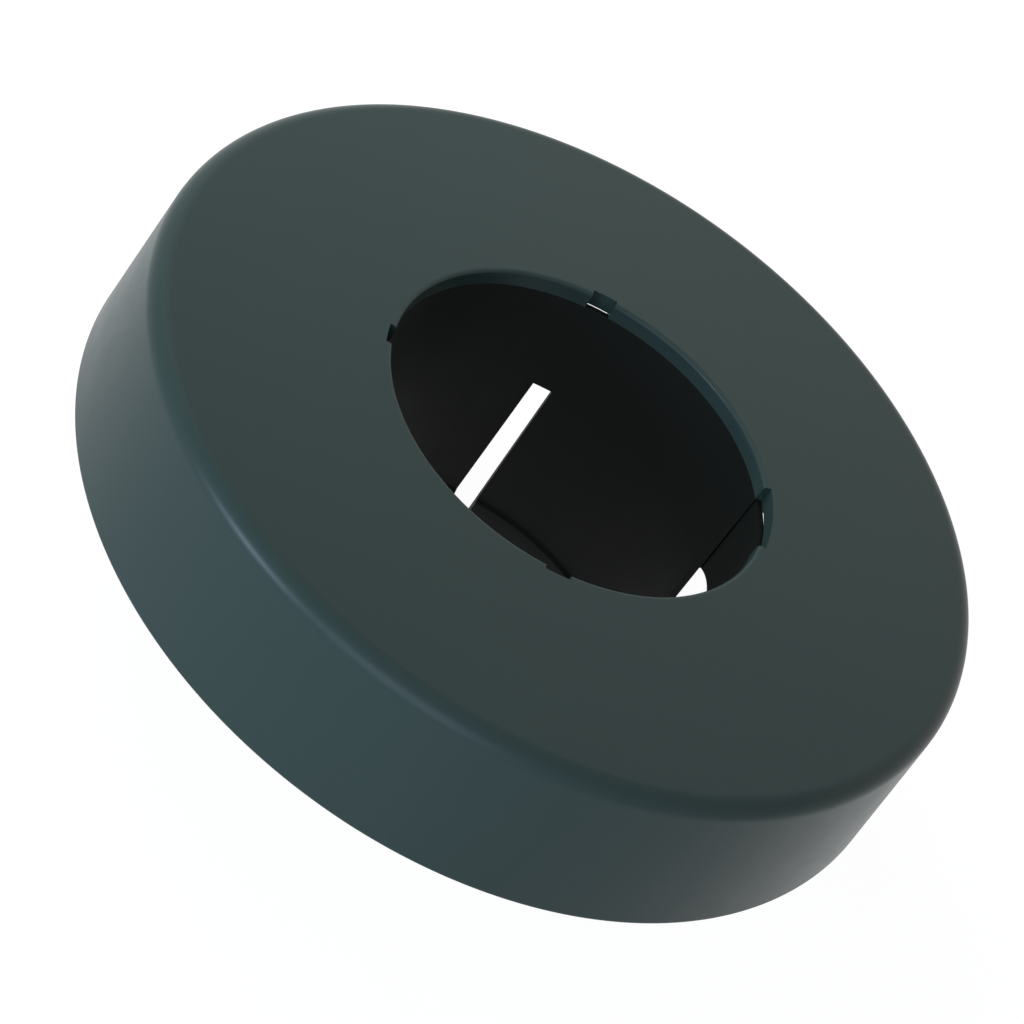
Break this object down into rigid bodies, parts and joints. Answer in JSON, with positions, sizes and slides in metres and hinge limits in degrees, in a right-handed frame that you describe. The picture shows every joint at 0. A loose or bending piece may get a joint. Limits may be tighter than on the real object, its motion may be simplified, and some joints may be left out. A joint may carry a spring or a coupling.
{
  "type": "toilet pipe flange cover",
  "caption": "Round deep cover for the hole around a toilet waste pipe, with a slotted sleeve whose spring fingers grip the pipe.",
  "frame": {"origin": "on the bore axis, at the tips of the sleeve's fingers", "axes": "+Z along the bore axis, out of the wall towards the cover's outer face; the wide key lies 16.6 degrees from +X towards +Y"},
  "size_m": [0.25, 0.25, 0.096],
  "materials": {
    "cover_plastic": "satin moulded dark grey-green polypropylene",
    "sleeve_plastic": "matt moulded black polypropylene"
  },
  "bodies": {
    "cover_and_sleeve": {"cover": "cover_plastic", "sleeve_ring": "sleeve_plastic"},
    "finger_1": {"finger_1": "sleeve_plastic"},
    "finger_2": {"finger_2": "sleeve_plastic"},
    "finger_3": {"finger_3": "sleeve_plastic"},
    "finger_4": {"finger_4": "sleeve_plastic"}
  },
  "joints": [
    {"name": "finger_1_flex", "type": "hinge", "parent": "cover_and_sleeve", "child": "finger_1", "pos_m": [0.02159, 0.05264, 0.0588], "axis": [0.9252, -0.3795, 0], "range_deg": [0, 2.5], "stiffness_Nm_per_rad": 2},
    {"name": "finger_2_flex", "type": "hinge", "parent": "cover_and_sleeve", "child": "finger_2", "pos_m": [-0.05005, 0.02706, 0.0588], "axis": [0.4756, 0.8796, 0], "range_deg": [0, 2.5], "stiffness_Nm_per_rad": 2},
    {"name": "finger_3_flex", "type": "hinge", "parent": "cover_and_sleeve", "child": "finger_3", "pos_m": [-0.02706, -0.05005, 0.0588], "axis": [-0.8796, 0.4756, 0], "range_deg": [0, 2.5], "stiffness_Nm_per_rad": 2},
    {"name": "finger_4_flex", "type": "hinge", "parent": "cover_and_sleeve", "child": "finger_4", "pos_m": [0.04689, -0.03223, 0.0588], "axis": [-0.5664, -0.8241, 0], "range_deg": [0, 2.5], "stiffness_Nm_per_rad": 2}
  ]
}
